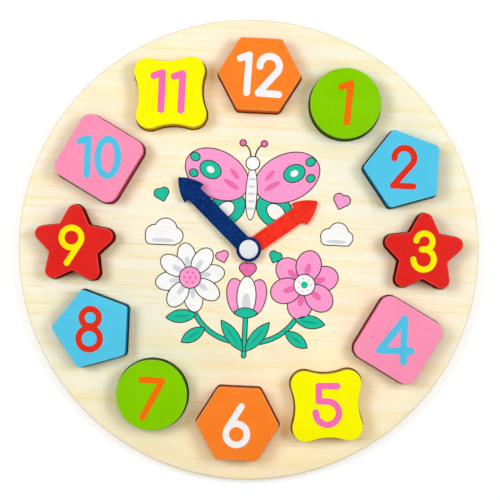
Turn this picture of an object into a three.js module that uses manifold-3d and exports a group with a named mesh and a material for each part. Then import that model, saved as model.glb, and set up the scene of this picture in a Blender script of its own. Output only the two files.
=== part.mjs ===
import * as THREE from 'three';
import { mergeVertices } from 'three/addons/utils/BufferGeometryUtils.js';
import Module from 'manifold-3d';

// Wooden clock puzzle, lying on its back with the dial up.
// Millimetres, +Z up, 12 o'clock toward +Y, origin in the middle of the underside.

// Boards: a dial with shaped cut-outs, glued to a thin plain back
const backBoardThickness = 3;
const dialBoardThickness = 5;
const boardEdgeRadius = 1;
const rimWidth = 6.8;

// Ring of number blocks, as small as leaves this much wood between two recesses
const recessWeb = 2.55;
const recessClearance = 0.6;
const blockThickness = 15;
const blockEdgeRadius = 0.8;

// Outlines of the six kinds of block
const hexagonRadius = 20.2;
const circleRadius = 17.1;
const pentagonRadius = 20.05;
const polygonCornerRadius = 2;
const starTipRadius = 24.3;
const starInnerRadius = 12.2;
const starTipRounding = 3.8;
const starNotchRounding = 1.5;
const squareSide = 33.9;
const squareCornerRadius = 5.2;
const waveWidth = 34.2;
const waveHollowDepth = 1.85;
const waveLobeRadius = 6.6;

// Snap rivet through the middle of the boards
const rivetShaftRadius = 2.3;
const rivetCapReach = 2;
const rivetCapThickness = 1.5;
const rivetCapRounding = 0.5;
const rivetLipReach = 0.45;
const rivetLipHeight = 0.9;
const rivetSlitWidth = 0.9;
const rivetSlitLength = 3.6;
const rivetEndRecess = 0.8;
const rivetClearance = 0.3;
const socketWall = 0.9;
const socketFlangeReach = 2.75;
const socketFlangeThickness = 1.4;
const socketRecess = 0.4;
const socketTopGap = 0.3;
const boardHoleClearance = 0.3;

// Hands and the washer that lifts them off the dial
const washerReach = 1.25;
const washerThickness = 0.8;
const handThickness = 1.8;
const handAxialPlay = 0.3;
const handHubRim = 1.5;
const handShaftWidth = 8.2;
const handBarbReach = 2.35;
const handHeadLength = 11.1;
const handHeadBulge = 0.8;
const handEdgeRadius = 0.3;
const minuteHandLength = 48.8;
const minuteHandTipRadius = 0.7;
const hourHandLength = 40.7;
const hourHandTipRadius = 1.1;

// One overrun serves every cut
const cutOverrun = 1;

// Where the hands stand, in degrees clockwise from 12
const minuteHandHeading = 313;
const hourHandHeading = 52.3;

// Facets
const boardSteps = 96;
const circleSteps = 48;
const smallRoundSteps = 32;
const cornerSteps = 4;
const lobeSteps = 8;
const waistSteps = 6;
const edgeSteps = 2;
const boardEdgeSteps = 3;
const headCurveSteps = 6;
const tipSteps = 5;

// Colours
const pineColour = '#f3e2bb';
const backColour = '#ecd8ac';
const rivetColour = '#e6e9f0';
const washerColour = '#f4f4f2';
const minuteHandColour = '#0a2e82';
const hourHandColour = '#fc3421';

// Heights of the stack, from the underside up
const recessFloor = backBoardThickness;
const dialTop = backBoardThickness + dialBoardThickness;
const washerTop = dialTop + washerThickness;
const minuteHandBase = washerTop + handThickness + handAxialPlay;
const capBase = minuteHandBase + handThickness + handAxialPlay;

// Radii that follow the rivet
const handHoleRadius = rivetShaftRadius + rivetClearance;
const rivetCapRadius = handHoleRadius + rivetCapReach;
const handHubRadius = rivetCapRadius + handHubRim;
const rivetLipRadius = rivetShaftRadius + rivetLipReach;
const socketBoreRadius = rivetShaftRadius + rivetClearance;
const socketPocketRadius = rivetLipRadius + rivetClearance;
const socketSleeveRadius = socketPocketRadius + socketWall;
const boardHoleRadius = socketSleeveRadius + boardHoleClearance;
const washerRadius = boardHoleRadius + washerReach;
const socketFlangeRadius = boardHoleRadius + socketFlangeReach;
const counterboreRadius = socketFlangeRadius + boardHoleClearance;
const counterboreDepth = socketRecess + socketFlangeThickness;

const wasm = await Module();
wasm.setup();

// Geometry in and out of solids that can be cut
function solidFrom(geometry) {
  const bare = geometry.clone();
  bare.deleteAttribute('normal');
  bare.deleteAttribute('uv');
  const merged = mergeVertices(bare);
  const triVerts = [];
  for (let i = 0; i < merged.index.count; i += 3) {
    const a = merged.index.getX(i);
    const b = merged.index.getX(i + 1);
    const c = merged.index.getX(i + 2);
    if (a !== b && b !== c && c !== a) triVerts.push(a, b, c);
  }
  return new wasm.Manifold(new wasm.Mesh({
    numProp: 3,
    vertProperties: new Float32Array(merged.attributes.position.array),
    triVerts: new Uint32Array(triVerts),
  }));
}

function geometryFrom(solid) {
  const mesh = solid.getMesh();
  const geometry = new THREE.BufferGeometry();
  geometry.setAttribute('position', new THREE.BufferAttribute(mesh.vertProperties, mesh.numProp));
  geometry.setIndex(new THREE.BufferAttribute(mesh.triVerts, 1));
  geometry.computeVertexNormals();
  return geometry;
}

function cut(geometry, cutters) {
  let solid = solidFrom(geometry);
  for (const cutter of cutters) solid = solid.subtract(solidFrom(cutter));
  return geometryFrom(solid);
}

// Points along an arc, both ends included
function arcPoints(centre, radius, from, to, steps) {
  const points = [];
  for (let i = 0; i <= steps; i += 1) {
    const angle = THREE.MathUtils.lerp(from, to, i / steps);
    points.push(new THREE.Vector2(
      centre.x + radius * Math.cos(angle),
      centre.y + radius * Math.sin(angle),
    ));
  }
  return points;
}

// Corners of a polygon or star on circles of the given radii, anticlockwise from an angle
function cornersOn(radii, count, startAngle) {
  return Array.from({ length: count }, (_, i) => {
    const radius = radii[i % radii.length];
    const angle = startAngle + (i * 2 * Math.PI) / count;
    return new THREE.Vector2(radius * Math.cos(angle), radius * Math.sin(angle));
  });
}

// An anticlockwise polygon with each edge moved outward and each corner rounded
function roundedPolygon(corners, grow, outerRounding, notchRounding = outerRounding) {
  const count = corners.length;
  const edges = corners.map((corner, i) => corners[(i + 1) % count].clone().sub(corner).normalize());
  const grown = corners.map((corner, i) => {
    const before = edges[(i + count - 1) % count];
    const after = edges[i];
    const normalSum = new THREE.Vector2(before.y + after.y, -before.x - after.x);
    return corner.clone().addScaledVector(normalSum, grow / (1 + before.dot(after)));
  });
  return grown.flatMap((corner, i) => {
    const before = edges[(i + count - 1) % count];
    const after = edges[i];
    const turn = Math.atan2(before.cross(after), before.dot(after));
    const side = Math.sign(turn);
    const radius = side > 0 ? outerRounding + grow : notchRounding - grow;
    const start = corner.clone().addScaledVector(before, -radius * Math.tan(Math.abs(turn) / 2));
    const centre = start.clone().add(new THREE.Vector2(-before.y, before.x).multiplyScalar(side * radius));
    const from = Math.atan2(start.y - centre.y, start.x - centre.x);
    return arcPoints(centre, radius, from, from + turn, cornerSteps);
  });
}

// Outlines of the blocks, each grown by a clearance where it cuts its recess
function hexagonOutline(grow) {
  return roundedPolygon(cornersOn([hexagonRadius], 6, 0), grow, polygonCornerRadius);
}

function circleOutline(grow) {
  const centre = new THREE.Vector2();
  return arcPoints(centre, circleRadius + grow, 0, 2 * Math.PI, circleSteps).slice(0, circleSteps);
}

function pentagonOutline(grow) {
  return roundedPolygon(cornersOn([pentagonRadius], 5, Math.PI), grow, polygonCornerRadius);
}

function starOutline(grow) {
  const corners = cornersOn([starTipRadius, starInnerRadius], 10, Math.PI / 2);
  return roundedPolygon(corners, grow, starTipRounding, starNotchRounding);
}

function squareOutline(grow) {
  const corners = cornersOn([squareSide / Math.SQRT2], 4, Math.PI / 4);
  return roundedPolygon(corners, grow, squareCornerRadius);
}

// Four round lobes joined by hollow sides that run smoothly into them
function waveOutline(grow) {
  const lobeOffset = waveWidth / 2 - waveLobeRadius;
  const waistOffset = waveWidth / 2 - waveHollowDepth;
  const rise = lobeOffset - waistOffset;
  const hollowRadius = (lobeOffset ** 2 + rise ** 2 - waveLobeRadius ** 2) / (2 * (waveLobeRadius + rise));
  const hollowOffset = waistOffset + hollowRadius;
  const hollowHalfAngle = Math.atan2(lobeOffset, hollowOffset - lobeOffset);
  const points = [];
  for (let side = 0; side < 4; side += 1) {
    const heading = (side * Math.PI) / 2;
    const hollowCentre = new THREE.Vector2(hollowOffset, 0).rotateAround(new THREE.Vector2(), heading);
    const lobeCentre = new THREE.Vector2(lobeOffset, lobeOffset).rotateAround(new THREE.Vector2(), heading);
    const inward = heading + Math.PI;
    points.push(...arcPoints(
      hollowCentre,
      hollowRadius - grow,
      inward + hollowHalfAngle,
      inward - hollowHalfAngle,
      waistSteps,
    ).slice(1));
    points.push(...arcPoints(
      lobeCentre,
      waveLobeRadius + grow,
      heading - hollowHalfAngle,
      heading + Math.PI / 2 + hollowHalfAngle,
      lobeSteps,
    ).slice(1));
  }
  return points;
}

// The kinds go round the ring in this order from 12, and again from 6. Each stands a little
// off its hour, in degrees clockwise, so that the gaps between unlike neighbours come out even,
// and turned by its lean, in degrees anticlockwise.
const blockKinds = [
  { shape: 'hexagon', outline: hexagonOutline, colour: '#ff8a28', offHour: 0.9, facesMiddle: false, lean: 0 },
  { shape: 'circle', outline: circleOutline, colour: '#84cb00', offHour: 0.9, facesMiddle: false, lean: 0 },
  { shape: 'pentagon', outline: pentagonOutline, colour: '#52c4e8', offHour: 0.1, facesMiddle: false, lean: 0 },
  { shape: 'star', outline: starOutline, colour: '#dc231d', offHour: -1.3, facesMiddle: false, lean: 0 },
  { shape: 'square', outline: squareOutline, colour: '#ff8cb2', offHour: -1.4, facesMiddle: true, lean: 0 },
  { shape: 'wave', outline: waveOutline, colour: '#fff900', offHour: 0.7, facesMiddle: false, lean: 4.7 },
];
const hours = Array.from({ length: 12 }, (_, i) => i + 1);

function blockPlace(hour) {
  const kind = blockKinds[hour % blockKinds.length];
  const angle = THREE.MathUtils.degToRad(90 - 30 * hour - kind.offHour);
  const turn = THREE.MathUtils.degToRad(kind.lean) + (kind.facesMiddle ? angle : 0);
  return { kind, angle, turn };
}

// How far an hour's recess reaches from its middle in a direction
function recessReach(hour, direction) {
  const { kind, turn } = blockPlace(hour);
  const along = new THREE.Vector2(Math.cos(direction - turn), Math.sin(direction - turn));
  return Math.max(...kind.outline(recessClearance).map((point) => point.dot(along)));
}

const ringRadius = Math.max(...hours.map((hour) => {
  const { angle } = blockPlace(hour);
  const step = THREE.MathUtils.euclideanModulo(angle - blockPlace(hour + 1).angle, 2 * Math.PI);
  const toNext = angle - step / 2 - Math.PI / 2;
  const spacing = recessReach(hour, toNext) + recessWeb + recessReach(hour + 1, toNext + Math.PI);
  return spacing / (2 * Math.sin(step / 2));
}));
const boardRadius = ringRadius + rimWidth
  + Math.max(...hours.map((hour) => recessReach(hour, blockPlace(hour).angle)));

// Straight-sided solid on an outline, standing on z = 0
function prism(outline, height) {
  return new THREE.ExtrudeGeometry(new THREE.Shape(outline), { depth: height, bevelEnabled: false });
}

// The same with both edges rounded, its full height and outline kept
function easedPrism(shape, height, edgeRadius, curveSegments) {
  const geometry = new THREE.ExtrudeGeometry(shape, {
    depth: height - 2 * edgeRadius,
    bevelEnabled: true,
    bevelThickness: edgeRadius,
    bevelSize: edgeRadius,
    bevelOffset: -edgeRadius,
    bevelSegments: edgeSteps,
    curveSegments,
  });
  return geometry.translate(0, 0, edgeRadius);
}

// Upright cylinder between two heights
function post(radius, bottom, top, steps) {
  const geometry = new THREE.CylinderGeometry(radius, radius, top - bottom, steps);
  return geometry.rotateX(Math.PI / 2).translate(0, 0, (top + bottom) / 2);
}

// Solid turned about Z from a profile of radius and height, listed anticlockwise
function turned(profile, steps) {
  const points = profile.map(([radius, height]) => new THREE.Vector2(radius, height));
  return new THREE.LatheGeometry(points, steps).rotateX(Math.PI / 2);
}

// Profile points of a rounded edge that turns from one direction to the next
function edgeProfile(radius, height, rounding, from, to) {
  const arc = arcPoints(new THREE.Vector2(radius, height), rounding, from, to, boardEdgeSteps);
  return arc.map((point) => [point.x, point.y]);
}

function dialBoardGeometry() {
  const disc = turned([
    [0, recessFloor],
    [boardRadius, recessFloor],
    ...edgeProfile(boardRadius - boardEdgeRadius, dialTop - boardEdgeRadius, boardEdgeRadius, 0, Math.PI / 2),
    [0, dialTop],
  ], boardSteps);
  const recesses = hours.map((hour) => {
    const { kind, angle, turn } = blockPlace(hour);
    const cutter = prism(kind.outline(recessClearance), dialBoardThickness + 2 * cutOverrun);
    cutter.rotateZ(turn);
    return cutter.translate(
      ringRadius * Math.cos(angle),
      ringRadius * Math.sin(angle),
      recessFloor - cutOverrun,
    );
  });
  const hole = post(boardHoleRadius, recessFloor - cutOverrun, dialTop + cutOverrun, smallRoundSteps);
  return cut(disc, [...recesses, hole]);
}

function backBoardGeometry() {
  const disc = turned([
    [0, 0],
    ...edgeProfile(boardRadius - boardEdgeRadius, boardEdgeRadius, boardEdgeRadius, -Math.PI / 2, 0),
    [boardRadius, recessFloor],
    [0, recessFloor],
  ], boardSteps);
  return cut(disc, [
    post(boardHoleRadius, -cutOverrun, recessFloor + cutOverrun, smallRoundSteps),
    post(counterboreRadius, -cutOverrun, counterboreDepth, smallRoundSteps),
  ]);
}

function blockGeometry(kind) {
  const shape = new THREE.Shape(kind.outline(0));
  return easedPrism(shape, blockThickness, blockEdgeRadius);
}

// Arrow-shaped hand pointing along +Y from a round hub
function handGeometry(length, tipRadius) {
  const halfShaft = handShaftWidth / 2;
  const halfHead = halfShaft + handBarbReach;
  const neck = length - handHeadLength;
  const hubJoin = Math.acos(halfShaft / handHubRadius);
  const tipHalfAngle = Math.atan2(halfHead, handHeadLength);
  const tipCentre = length - tipRadius;
  const tipEdge = new THREE.Vector2(
    tipRadius * Math.cos(tipHalfAngle),
    tipCentre + tipRadius * Math.sin(tipHalfAngle),
  );
  const bulge = 2 * handHeadBulge;
  const control = new THREE.Vector2(
    (halfHead + tipEdge.x) / 2 + bulge * Math.cos(tipHalfAngle),
    (neck + tipEdge.y) / 2 + bulge * Math.sin(tipHalfAngle),
  );
  const rightSide = new THREE.QuadraticBezierCurve(new THREE.Vector2(halfHead, neck), control, tipEdge)
    .getPoints(headCurveSteps);
  const leftSide = rightSide.map((point) => new THREE.Vector2(-point.x, point.y)).reverse();
  const tip = arcPoints(
    new THREE.Vector2(0, tipCentre),
    tipRadius,
    tipHalfAngle,
    Math.PI - tipHalfAngle,
    tipSteps,
  ).slice(1, -1);
  const hub = arcPoints(
    new THREE.Vector2(),
    handHubRadius,
    Math.PI - hubJoin,
    2 * Math.PI + hubJoin,
    smallRoundSteps,
  );
  const outline = [
    ...hub,
    new THREE.Vector2(halfShaft, neck),
    ...rightSide,
    ...tip,
    ...leftSide,
    new THREE.Vector2(-halfShaft, neck),
  ];
  const blade = easedPrism(new THREE.Shape(outline), handThickness, handEdgeRadius);
  return cut(blade, [post(handHoleRadius, -cutOverrun, handThickness + cutOverrun, smallRoundSteps)]);
}

function washerGeometry() {
  return turned([
    [handHoleRadius, 0],
    [washerRadius, 0],
    [washerRadius, washerThickness],
    [handHoleRadius, washerThickness],
    [handHoleRadius, 0],
  ], smallRoundSteps);
}

// Rivet with a flat round cap, and a slit end with a lip that snaps into the socket
function rivetPinGeometry() {
  const lipTop = rivetEndRecess + rivetLipHeight;
  const capTop = capBase + rivetCapThickness;
  const lipTaper = rivetLipRadius - rivetShaftRadius;
  const pin = turned([
    [0, rivetEndRecess],
    [rivetShaftRadius, rivetEndRecess],
    [rivetLipRadius, lipTop - lipTaper],
    [rivetLipRadius, lipTop],
    [rivetShaftRadius, lipTop],
    [rivetShaftRadius, capBase],
    [rivetCapRadius, capBase],
    ...edgeProfile(rivetCapRadius - rivetCapRounding, capTop - rivetCapRounding, rivetCapRounding, 0, Math.PI / 2),
    [0, capTop],
  ], smallRoundSteps);
  const slitHeight = rivetSlitLength + cutOverrun;
  const slit = new THREE.BoxGeometry(2 * rivetLipRadius + 2 * cutOverrun, rivetSlitWidth, slitHeight);
  slit.translate(0, 0, rivetEndRecess - cutOverrun + slitHeight / 2);
  return cut(pin, [slit]);
}

// Flanged sleeve that lines the boards' hole and holds the rivet's lip from below
function rivetSocketGeometry() {
  const pocketTop = rivetEndRecess + rivetLipHeight;
  const sleeveTop = dialTop - socketTopGap;
  return turned([
    [socketPocketRadius, socketRecess],
    [socketFlangeRadius, socketRecess],
    [socketFlangeRadius, counterboreDepth],
    [socketSleeveRadius, counterboreDepth],
    [socketSleeveRadius, sleeveTop],
    [socketBoreRadius, sleeveTop],
    [socketBoreRadius, pocketTop + rivetClearance],
    [socketPocketRadius, pocketTop + rivetClearance],
    [socketPocketRadius, socketRecess],
  ], smallRoundSteps);
}

const clock = new THREE.Group();

function addPiece(name, geometry, colour, roughness) {
  const material = new THREE.MeshStandardMaterial({ color: colour, roughness, metalness: 0 });
  const piece = new THREE.Mesh(geometry, material);
  piece.name = name;
  clock.add(piece);
  return piece;
}

addPiece('back_board', backBoardGeometry(), backColour, 0.7);
addPiece('dial_board', dialBoardGeometry(), pineColour, 0.6);

for (const hour of hours) {
  const { kind, angle, turn } = blockPlace(hour);
  const block = addPiece(`block_${hour}_${kind.shape}`, blockGeometry(kind), kind.colour, 0.5);
  block.position.set(ringRadius * Math.cos(angle), ringRadius * Math.sin(angle), recessFloor);
  block.rotation.z = turn;
}

addPiece('rivet_socket', rivetSocketGeometry(), rivetColour, 0.4);
addPiece('rivet_pin', rivetPinGeometry(), rivetColour, 0.35);
addPiece('spacer_washer', washerGeometry(), washerColour, 0.4).position.z = dialTop;

const hourHand = addPiece('hour_hand', handGeometry(hourHandLength, hourHandTipRadius), hourHandColour, 0.4);
hourHand.position.z = washerTop;
hourHand.rotation.z = -THREE.MathUtils.degToRad(hourHandHeading);

const minuteHand = addPiece(
  'minute_hand',
  handGeometry(minuteHandLength, minuteHandTipRadius),
  minuteHandColour,
  0.4,
);
minuteHand.position.z = minuteHandBase;
minuteHand.rotation.z = -THREE.MathUtils.degToRad(minuteHandHeading);

export default clock;
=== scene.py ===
import math

import bmesh
import bpy
from mathutils import Matrix, Vector


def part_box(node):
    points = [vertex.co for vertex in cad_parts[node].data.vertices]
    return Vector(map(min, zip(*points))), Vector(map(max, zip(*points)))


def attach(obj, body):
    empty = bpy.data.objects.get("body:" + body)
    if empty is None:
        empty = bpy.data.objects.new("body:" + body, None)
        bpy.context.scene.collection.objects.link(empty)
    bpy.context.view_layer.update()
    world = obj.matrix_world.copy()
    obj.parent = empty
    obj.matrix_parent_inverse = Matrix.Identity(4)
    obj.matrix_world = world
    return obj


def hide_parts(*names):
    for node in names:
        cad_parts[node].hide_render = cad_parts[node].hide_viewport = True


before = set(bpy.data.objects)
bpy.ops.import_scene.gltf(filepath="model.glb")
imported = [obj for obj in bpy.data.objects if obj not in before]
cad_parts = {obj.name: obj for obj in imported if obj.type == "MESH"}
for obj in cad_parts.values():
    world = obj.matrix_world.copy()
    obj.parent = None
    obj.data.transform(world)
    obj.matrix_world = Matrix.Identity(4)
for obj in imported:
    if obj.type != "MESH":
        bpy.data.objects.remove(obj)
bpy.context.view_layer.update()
mm = 0.001
smoothAngle = math.radians(35)
print('frame loaded')


def toward(angle):
    return Vector((math.cos(angle), math.sin(angle)))


# Selecting and editing

def deselect():
    if bpy.context.mode != 'OBJECT':
        bpy.ops.object.mode_set(mode='OBJECT')
    bpy.ops.object.select_all(action='DESELECT')


def take(*pieces):
    deselect()
    for piece in pieces:
        piece.select_set(True)
    bpy.context.view_layer.objects.active = pieces[0]


def selectAll():
    bpy.ops.mesh.select_all(action='SELECT')


def edit(piece):
    take(piece)
    bpy.ops.object.mode_set(mode='EDIT')
    selectAll()


def grid():
    return bmesh.from_edit_mesh(bpy.context.edit_object.data)


def pick(kind, test):
    # kind is EDGE or FACE, and test says which of them to select
    bpy.ops.mesh.select_mode(type=kind)
    bpy.ops.mesh.select_all(action='DESELECT')
    mesh = grid()
    for part in {'EDGE': mesh.edges, 'FACE': mesh.faces}[kind]:
        if test(part):
            part.select_set(True)
    mesh.select_flush_mode()
    bmesh.update_edit_mesh(bpy.context.edit_object.data)


def atHeight(edge, height):
    return all(abs(vert.co.z - height * mm) < 1e-6 for vert in edge.verts)


def extrude(x, y, z):
    move = (x * mm, y * mm, z * mm)
    bpy.ops.mesh.extrude_region_move(TRANSFORM_OT_translate={'value': move})


def stretch(x, y, centre):
    middle = [part * mm for part in centre]
    bpy.ops.transform.resize(value=(x, y, 1), center_override=middle)


def swing(centre, height, turn, steps):
    # spins what is selected about an upright line, anticlockwise positive
    bpy.ops.mesh.spin(
        steps=steps,
        angle=abs(turn),
        center=(centre[0] * mm, centre[1] * mm, height * mm),
        axis=(0, 0, -math.copysign(1, turn)),
    )


def outwards():
    selectAll()
    bpy.ops.mesh.normals_make_consistent(inside=False)


def leaveEdit():
    outwards()
    bpy.ops.object.mode_set(mode='OBJECT')


def named(name):
    # the primitive that was just added, under its own name
    piece = bpy.context.active_object
    piece.name = name
    piece.data.name = name
    return piece


def placed(name, data):
    thing = bpy.data.objects.new(name, data)
    bpy.context.collection.objects.link(thing)
    return thing


def settle(piece):
    # bakes the place and turn into the mesh
    take(piece)
    bpy.ops.object.transform_apply()


def startCircle(name, sides, radius, height, fill='NGON'):
    deselect()
    bpy.ops.mesh.primitive_circle_add(
        vertices=sides,
        radius=radius * mm,
        fill_type=fill,
        location=(0, 0, height * mm),
    )
    piece = named(name)
    settle(piece)
    return piece


def startPlane(name, size, middle):
    deselect()
    place = [part * mm for part in middle]
    bpy.ops.mesh.primitive_plane_add(size=size * mm, location=place)
    piece = named(name)
    settle(piece)
    return piece


def smooth(piece):
    take(piece)
    bpy.ops.object.shade_smooth_by_angle(angle=smoothAngle)


def cutAway(piece, cutter):
    take(piece)
    bpy.ops.object.modifier_add(type='BOOLEAN')
    modifier = piece.modifiers[-1]
    modifier.solver = 'EXACT'
    modifier.operation = 'DIFFERENCE'
    modifier.object = cutter
    bpy.ops.object.modifier_apply(modifier=modifier.name)
    bpy.data.objects.remove(cutter)


def joined(pieces):
    take(*pieces)
    bpy.ops.object.join()
    return pieces[0]


def easeRim(height, settings, test=lambda edge: True):
    # rounds the level edges at one height
    pick('EDGE', lambda edge: atHeight(edge, height) and test(edge))
    bpy.ops.mesh.bevel(
        offset=settings['easing'] * mm,
        segments=settings['easingSteps'],
        affect='EDGES',
        loop_slide=False,
    )


def turned(name, profile, steps, closed=False):
    # a circle drawn up through rings of radius and height, as on a lathe
    radius, height = profile[0]
    piece = startCircle(name, steps, radius, height, fill='NOTHING' if closed else 'NGON')
    edit(piece)
    for nextRadius, nextHeight in profile[1:]:
        extrude(0, 0, nextHeight - height)
        stretch(nextRadius / radius, nextRadius / radius, (0, 0, nextHeight))
        radius, height = nextRadius, nextHeight
    if closed:
        selectAll()
        bpy.ops.mesh.remove_doubles(threshold=1e-6)
    leaveEdit()
    return piece


def roundedProfile(radius, height, rounding, start, end, steps=5):
    # rings of a rounded edge about one point, from an angle to another
    rings = []
    for i in range(steps + 1):
        angle = math.radians(start + (end - start) * i / steps)
        rings.append((radius + rounding * math.cos(angle), height + rounding * math.sin(angle)))
    return rings


def dress(piece, finish):
    smooth(piece)
    piece.data.materials.append(finish)


# Shader maths

class Mask:
    def __init__(self, finish, socket):
        self.finish = finish
        self.socket = socket

    def __add__(self, other):
        return self.finish.maths('ADD', self, other)

    def __radd__(self, other):
        return self.finish.maths('ADD', other, self)

    def __sub__(self, other):
        return self.finish.maths('SUBTRACT', self, other)

    def __rsub__(self, other):
        return self.finish.maths('SUBTRACT', other, self)

    def __mul__(self, other):
        return self.finish.maths('MULTIPLY', self, other)

    def __rmul__(self, other):
        return self.finish.maths('MULTIPLY', other, self)


def tone(red, green, blue):
    # the linear colour of one given as on a screen, 0 to 255
    def linear(value):
        value /= 255
        return value / 12.92 if value <= 0.04045 else ((value + 0.055) / 1.055) ** 2.4
    return (linear(red), linear(green), linear(blue), 1)


class Finish:
    def __init__(self, name, specular=0.5):
        self.material = bpy.data.materials.new(name)
        self.material.use_nodes = True
        self.tree = self.material.node_tree
        self.tree.nodes.clear()
        self.shader = self.node('ShaderNodeBsdfPrincipled')
        self.shader.inputs['Specular IOR Level'].default_value = specular
        output = self.node('ShaderNodeOutputMaterial')
        self.tree.links.new(self.shader.outputs[0], output.inputs['Surface'])
        place = self.node('ShaderNodeTexCoord')
        self.facing = place.outputs['Normal']
        self.millimetres = self.node(
            'ShaderNodeVectorMath',
            {'operation': 'MULTIPLY'},
            {0: place.outputs['Object'], 1: (1 / mm, 1 / mm, 1 / mm)},
        ).outputs[0]

    def node(self, kind, settings=None, sockets=None):
        node = self.tree.nodes.new(kind)
        for key, value in (settings or {}).items():
            setattr(node, key, value)
        for key, value in (sockets or {}).items():
            self.feed(node.inputs[key], value)
        return node

    def feed(self, socket, value):
        if isinstance(value, Mask):
            self.tree.links.new(value.socket, socket)
        elif isinstance(value, bpy.types.NodeSocket):
            self.tree.links.new(value, socket)
        else:
            socket.default_value = value

    def maths(self, operation, first, second=0.0):
        node = self.node('ShaderNodeMath', {'operation': operation}, {0: first, 1: second})
        return Mask(self, node.outputs[0])

    def part(self, vector, axis):
        node = self.node('ShaderNodeSeparateXYZ', sockets={0: vector})
        return Mask(self, node.outputs[axis])

    def noise(self, factors, detail=2.0, rough=0.5, twist=0.0, shift=(0, 0, 0)):
        # factors are cycles per millimetre along X, Y and Z
        vector = self.node(
            'ShaderNodeVectorMath',
            {'operation': 'MULTIPLY_ADD'},
            {0: self.millimetres, 1: factors, 2: shift},
        ).outputs[0]
        node = self.node('ShaderNodeTexNoise', sockets={
            'Vector': vector, 'Scale': 1.0, 'Detail': detail, 'Roughness': rough, 'Distortion': twist,
        })
        return Mask(self, node.outputs[0])

    def fade(self, value, low, high, top=1.0, bottom=0.0):
        # runs smoothly from bottom to top while the value goes from low to high
        node = self.node('ShaderNodeMapRange', {'interpolation_type': 'SMOOTHSTEP'}, {
            'Value': value, 'From Min': low, 'From Max': high, 'To Min': bottom, 'To Max': top,
        })
        return Mask(self, node.outputs[0])

    def mix(self, factor, first, second):
        # each colour is the result of another mix, or red, green and blue as on a screen
        node = self.node('ShaderNodeMix', {'data_type': 'RGBA', 'blend_type': 'MIX'})
        self.feed(node.inputs[0], factor)
        for socket, colour in ((node.inputs[6], first), (node.inputs[7], second)):
            self.feed(socket, tone(*colour) if isinstance(colour, tuple) else colour)
        return node.outputs[2]

    def attribute(self, name):
        node = self.node('ShaderNodeAttribute', {'attribute_name': name})
        return Mask(self, node.outputs['Fac'])

    def upright(self):
        # 1 on walls, 0 on level faces
        level = self.maths('ABSOLUTE', self.part(self.facing, 2))
        return self.fade(level, 0.25, 0.75, 0.0, 1.0)

    def bumped(self, height, distance, strength, onto=None):
        sockets = {'Height': height, 'Distance': distance * mm, 'Strength': strength}
        if onto is not None:
            sockets['Normal'] = onto
        return self.node('ShaderNodeBump', sockets=sockets).outputs[0]

    def set(self, colour, rough, normal):
        for name, value in (('Base Color', colour), ('Roughness', rough), ('Normal', normal)):
            self.feed(self.shader.inputs[name], value)
        return self.material


# Wood, paint and plastic

# the figure of the wood, in cycles per millimetre along X, Y and Z
grain = {
    'warm': (0.004, 0.02, 0.02),
    'band': (0.011, 0.28, 0.28),
    'streak': (0.028, 0.75, 0.75),
    'fibre': (0.09, 4.5, 4.5),
    'pore': (0.16, 2.6, 2.6),
}


def boardWood(name, settings):
    finish = Finish(name, specular=0.3)
    warm = finish.noise(grain['warm'], 1.0, shift=settings['shift'])
    band = finish.noise(grain['band'], 3.0, 0.55, 0.3, settings['shift'])
    streak = finish.noise(grain['streak'], 3.0, 0.6, 0.15, settings['shift'])
    fibre = finish.noise(grain['fibre'], 3.0, 0.65)
    pore = finish.noise(grain['pore'], 1.0, shift=(7, 3, 1))
    colour = finish.mix(finish.fade(band, 0.38, 0.68), settings['pale'], settings['cream'])
    streaks = finish.fade(streak, 0.56, 0.74, settings['streaks'])
    colour = finish.mix(streaks, colour, settings['gold'])
    colour = finish.mix(finish.fade(warm, 0.4, 0.75, 0.35), colour, settings['cream'])
    # towards six o'clock the board is painted more golden and darker: painted shade
    shadeTowardSix = finish.fade(finish.part(finish.millimetres, 1), -110, -60, 0.0, 0.3)
    colour = finish.mix(shadeTowardSix, colour, settings['gold'])
    colour = finish.mix(finish.fade(pore, 0.66, 0.8, 0.4), colour, settings['gold'])
    colour = finish.mix(finish.fade(fibre, 0.3, 0.75, 0.16), colour, settings['gold'])
    # cut edges show the plies one above another, end grain in every second one
    height = finish.part(finish.millimetres, 2)
    layer = finish.maths('SINE', (height - settings['plyBase']) * (math.pi / settings['ply']))
    endGrain = finish.fade(finish.noise((1.6, 1.6, 0.5), 3.0, 0.7), 0.3, 0.7)
    crossPly = finish.mix(endGrain, settings['plyDark'], settings['plyMid'])
    longPly = finish.mix(0.5 * endGrain, settings['plyLight'], settings['plyMid'])
    plies = finish.mix(finish.fade(layer, -0.12, 0.12), crossPly, longPly)
    walls = finish.upright()
    colour = finish.mix(walls, colour, plies)
    rough = finish.fade(fibre, 0.3, 0.7, settings['roughness'] + 0.08, settings['roughness'] - 0.05)
    relief = finish.bumped(fibre, 0.03, 0.5)
    relief = finish.bumped(streak, 0.05, 0.35, relief)
    return finish.set(colour, rough + 0.1 * walls, relief)


# heights in millimetres up a block of a band of painted shade on its walls where it meets the board's
# face, and how much is seen of that band, of random streaks and of the lighter edges, which are partly
# painted highlight and partly wear
shadeHighlightAndWear = {'foot': 3.5, 'middle': 8, 'head': 13, 'ring': 0.5, 'streaks': 0.12, 'edges': 0.55}


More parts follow.
